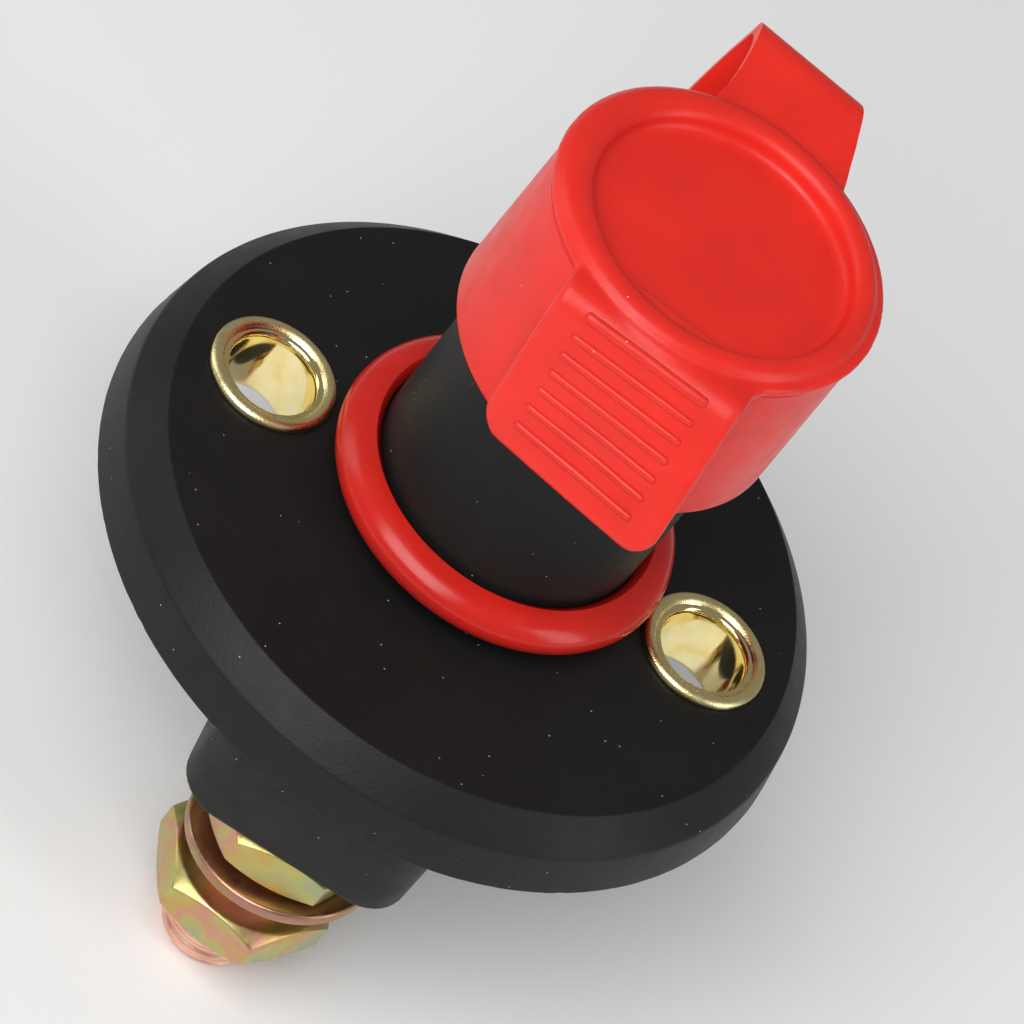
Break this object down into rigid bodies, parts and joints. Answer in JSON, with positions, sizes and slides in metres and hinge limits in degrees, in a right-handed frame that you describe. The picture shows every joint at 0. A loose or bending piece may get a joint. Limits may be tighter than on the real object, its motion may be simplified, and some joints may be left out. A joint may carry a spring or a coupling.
{
  "type": "battery switch",
  "caption": "Panel-mounted battery master switch with a round flange, a removable-key rotor and a soft red sealing cap held on a tether.",
  "frame": {"origin": "centre of the round flange's underside, in the plane of the panel's face", "axes": "+Z along the switch's axis, out of the panel towards the sealing cap; +X from the left mounting eyelet to the right one; +Y from the front terminal stud to the rear one"},
  "size_m": [0.076, 0.076, 0.095],
  "materials": {
    "black_moulding": "fine moulded grain",
    "contact_block": "fine moulded grain",
    "red_soft_plastic": "smooth soft vinyl, slightly translucent",
    "rotor_red": "satin nylon",
    "brass_eyelet": "polished",
    "copper": "bright copper, machined",
    "yellow_zinc": "yellow-passivated zinc plate, iridescent",
    "spring_steel": "bright drawn wire",
    "seal_rubber": "matte",
    "plunger_black": "satin acetal"
  },
  "bodies": {
    "housing": {"flange_housing": "black_moulding", "contact_block": "contact_block", "mounting_eyelet_left": "brass_eyelet", "mounting_eyelet_right": "brass_eyelet", "terminal_stud_front": "copper", "terminal_stud_rear": "copper", "seat_nut_front": "yellow_zinc", "seat_nut_rear": "yellow_zinc", "flat_washer_front": "yellow_zinc", "flat_washer_rear": "yellow_zinc", "terminal_nut_front": "yellow_zinc", "terminal_nut_rear": "yellow_zinc", "return_spring": "spring_steel", "tether_ring": "red_soft_plastic"},
    "cap": {"sealing_cap": "red_soft_plastic", "tether_strap": "red_soft_plastic"},
    "rotor": {"key_rotor": "rotor_red", "rotor_seal": "seal_rubber"},
    "plunger": {"cam_plunger": "plunger_black", "bridge_retainer": "spring_steel", "contact_spring": "spring_steel"},
    "bridge": {"contact_bridge": "copper"}
  },
  "joints": [
    {"name": "cap_pull", "type": "slide", "parent": "housing", "child": "cap", "axis": [0, 0, 1], "range_m": [0, 0.018], "deforming": ["tether_strap"]},
    {"name": "key_turn", "type": "hinge", "parent": "housing", "child": "rotor", "pos_m": [0, 0, 0.03], "axis": [0, 0, -1], "range_deg": [0, 90]},
    {"name": "plunger_travel", "type": "slide", "parent": "housing", "child": "plunger", "axis": [0, 0, -1], "range_m": [0, 0.003], "deforming": ["return_spring"]},
    {"name": "bridge_lift", "type": "slide", "parent": "plunger", "child": "bridge", "axis": [0, 0, 1], "range_m": [0, 0.00085], "deforming": ["contact_spring"]}
  ],
  "couplings": [
    {"joint": "key_turn", "follows": "plunger_travel", "rad_per_m": 523.6},
    {"joint": "bridge_lift", "follows": "plunger_travel", "ratio": 0.28333}
  ]
}
